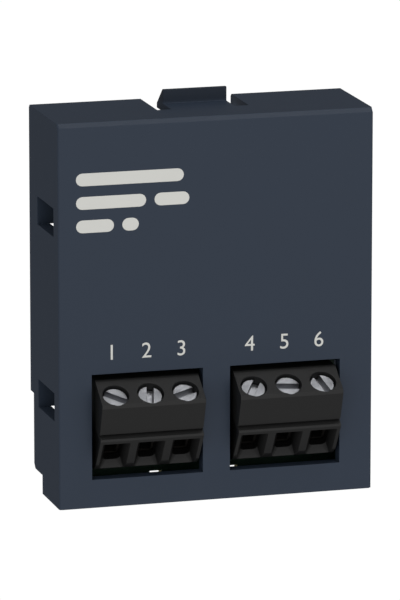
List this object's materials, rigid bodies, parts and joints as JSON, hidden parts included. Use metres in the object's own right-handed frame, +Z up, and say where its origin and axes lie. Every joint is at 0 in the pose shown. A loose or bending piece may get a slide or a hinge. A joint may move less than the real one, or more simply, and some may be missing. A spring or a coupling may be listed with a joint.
{
  "type": "plc module",
  "caption": "Plug-in analog output module for a controller: shallow moulded shell with a sprung locking clip, tilted screw terminals in front and a circuit board with a connector at the rear.",
  "frame": {"origin": "bottom centre of the bounding box, on the surface that the foot stands on", "axes": "+Z up through the module's height, +Y from the front face to the rear connector, +X to the right seen from the front"},
  "size_m": [0.0344, 0.0188, 0.0429],
  "materials": {
    "housing": "satin moulded, fine spark texture",
    "terminal": "satin moulded",
    "screw": "bright plated, turned head",
    "cage": "nickel-plated brass",
    "contact": "tin-plated copper",
    "board": "green solder mask over glass-fibre board",
    "connector": "black moulded",
    "gold": "gold-plated contact",
    "chip": "black moulded package",
    "ferrite": "sintered ferrite",
    "tantalum": "yellow moulded case",
    "ceramic": "fired ceramic with tinned ends"
  },
  "bodies": {
    "module": {"front_housing": "housing", "circuit_board": "board", "terminal_block_left": "terminal", "terminal_block_right": "terminal", "contact_pin_1": "contact", "contact_pin_2": "contact", "contact_pin_3": "contact", "contact_pin_4": "contact", "contact_pin_5": "contact", "contact_pin_6": "contact", "connector_shell": "connector", "connector_pin_01": "gold", "connector_pin_02": "gold", "connector_pin_03": "gold", "connector_pin_04": "gold", "connector_pin_05": "gold", "connector_pin_06": "gold", "connector_pin_07": "gold", "connector_pin_08": "gold", "connector_pin_09": "gold", "connector_pin_10": "gold", "connector_pin_11": "gold", "connector_pin_12": "gold", "isolator_chip": "chip", "converter_chip": "chip", "amplifier_chip": "chip", "memory_chip": "chip", "regulator_chip": "chip", "suppressor_left": "chip", "suppressor_right": "chip", "supply_transformer": "ferrite", "power_inductor": "ferrite", "storage_capacitor_1": "tantalum", "storage_capacitor_2": "tantalum", "storage_capacitor_3": "tantalum", "ceramic_capacitor_1": "ceramic", "ceramic_capacitor_2": "ceramic", "ceramic_capacitor_3": "ceramic", "ceramic_capacitor_4": "ceramic"},
    "locking_clip": {"locking_clip": "housing"},
    "clamp_screw_1": {"clamp_screw_1": "screw"},
    "clamp_cage_1": {"clamp_cage_1": "cage"},
    "clamp_screw_2": {"clamp_screw_2": "screw"},
    "clamp_cage_2": {"clamp_cage_2": "cage"},
    "clamp_screw_3": {"clamp_screw_3": "screw"},
    "clamp_cage_3": {"clamp_cage_3": "cage"},
    "clamp_screw_4": {"clamp_screw_4": "screw"},
    "clamp_cage_4": {"clamp_cage_4": "cage"},
    "clamp_screw_5": {"clamp_screw_5": "screw"},
    "clamp_cage_5": {"clamp_cage_5": "cage"},
    "clamp_screw_6": {"clamp_screw_6": "screw"},
    "clamp_cage_6": {"clamp_cage_6": "cage"}
  },
  "joints": [
    {"name": "clip_press", "type": "hinge", "parent": "module", "child": "locking_clip", "pos_m": [0, -0.00124, 0.04095], "axis": [-1, 0, 0], "range_deg": [0, 12], "stiffness_Nm_per_rad": 0.02},
    {"name": "screw_1_turn", "type": "hinge", "parent": "module", "child": "clamp_screw_1", "pos_m": [-0.01146, -0.00484, 0.0075], "axis": [0, 0.5592, -0.829], "range_deg": [0, 1441]},
    {"name": "cage_1_rise", "type": "slide", "parent": "module", "child": "clamp_cage_1", "axis": [0, -0.5592, 0.829], "range_m": [0, 0.0016]},
    {"name": "screw_2_turn", "type": "hinge", "parent": "module", "child": "clamp_screw_2", "pos_m": [-0.00766, -0.00484, 0.0075], "axis": [0, 0.5592, -0.829], "range_deg": [0, 1441]},
    {"name": "cage_2_rise", "type": "slide", "parent": "module", "child": "clamp_cage_2", "axis": [0, -0.5592, 0.829], "range_m": [0, 0.0016]},
    {"name": "screw_3_turn", "type": "hinge", "parent": "module", "child": "clamp_screw_3", "pos_m": [-0.00384, -0.00484, 0.0075], "axis": [0, 0.5592, -0.829], "range_deg": [0, 1441]},
    {"name": "cage_3_rise", "type": "slide", "parent": "module", "child": "clamp_cage_3", "axis": [0, -0.5592, 0.829], "range_m": [0, 0.0016]},
    {"name": "screw_4_turn", "type": "hinge", "parent": "module", "child": "clamp_screw_4", "pos_m": [0.00367, -0.00484, 0.0075], "axis": [0, 0.5592, -0.829], "range_deg": [0, 1441]},
    {"name": "cage_4_rise", "type": "slide", "parent": "module", "child": "clamp_cage_4", "axis": [0, -0.5592, 0.829], "range_m": [0, 0.0016]},
    {"name": "screw_5_turn", "type": "hinge", "parent": "module", "child": "clamp_screw_5", "pos_m": [0.00749, -0.00484, 0.0075], "axis": [0, 0.5592, -0.829], "range_deg": [0, 1441]},
    {"name": "cage_5_rise", "type": "slide", "parent": "module", "child": "clamp_cage_5", "axis": [0, -0.5592, 0.829], "range_m": [0, 0.0016]},
    {"name": "screw_6_turn", "type": "hinge", "parent": "module", "child": "clamp_screw_6", "pos_m": [0.01129, -0.00484, 0.0075], "axis": [0, 0.5592, -0.829], "range_deg": [0, 1441]},
    {"name": "cage_6_rise", "type": "slide", "parent": "module", "child": "clamp_cage_6", "axis": [0, -0.5592, 0.829], "range_m": [0, 0.0016]}
  ],
  "couplings": [
    {"joint": "screw_1_turn", "follows": "cage_1_rise", "rad_per_m": 15708},
    {"joint": "screw_2_turn", "follows": "cage_2_rise", "rad_per_m": 15708},
    {"joint": "screw_3_turn", "follows": "cage_3_rise", "rad_per_m": 15708},
    {"joint": "screw_4_turn", "follows": "cage_4_rise", "rad_per_m": 15708},
    {"joint": "screw_5_turn", "follows": "cage_5_rise", "rad_per_m": 15708},
    {"joint": "screw_6_turn", "follows": "cage_6_rise", "rad_per_m": 15708}
  ]
}
